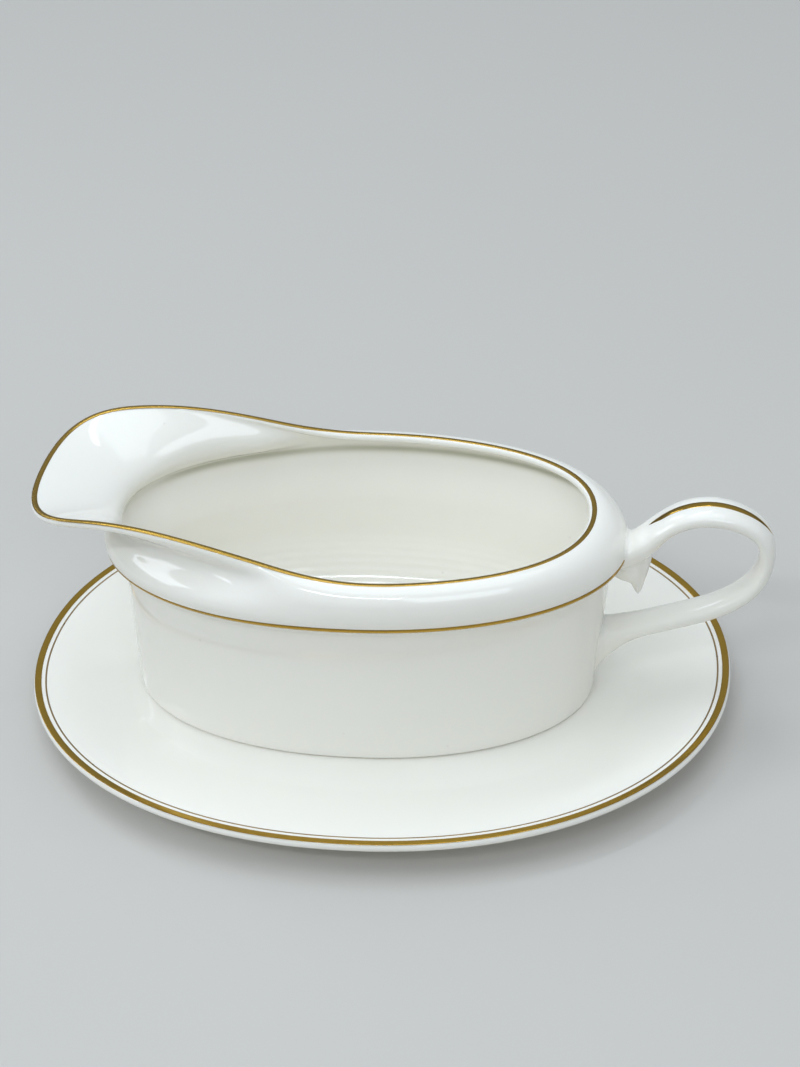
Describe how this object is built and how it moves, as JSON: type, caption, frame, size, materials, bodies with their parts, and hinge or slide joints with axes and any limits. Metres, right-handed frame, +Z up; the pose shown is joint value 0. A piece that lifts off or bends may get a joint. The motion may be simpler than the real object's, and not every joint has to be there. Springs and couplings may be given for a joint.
{
  "type": "gravy boat with stand",
  "caption": "Oval china gravy boat with a wide raised pouring lip and a loop handle, resting in the well of an oval stand, edged with fired gold lines.",
  "frame": {"origin": "middle of the whole object's length and width, on the table", "axes": "+X from the pouring lip to the handle, +Z up"},
  "size_m": [0.2318, 0.1656, 0.0851],
  "materials": {
    "china": "clear glossy glaze over white bone china",
    "gold": "fired bright gold, lightly burnished",
    "gold_line": "thin fired gold line"
  },
  "bodies": {
    "stand": {"stand_plate": "china", "stand_rim_band": "gold", "stand_inner_line": "gold_line"},
    "boat": {"boat_body": "china", "boat_handle": "china", "boat_rim_gilding": "gold", "boat_shoulder_gilding": "gold", "handle_gilding": "gold"}
  },
  "joints": [
    {"name": "boat_lift", "type": "slide", "parent": "stand", "child": "boat", "axis": [0, 0, 1], "range_m": [0, 0.12]}
  ]
}
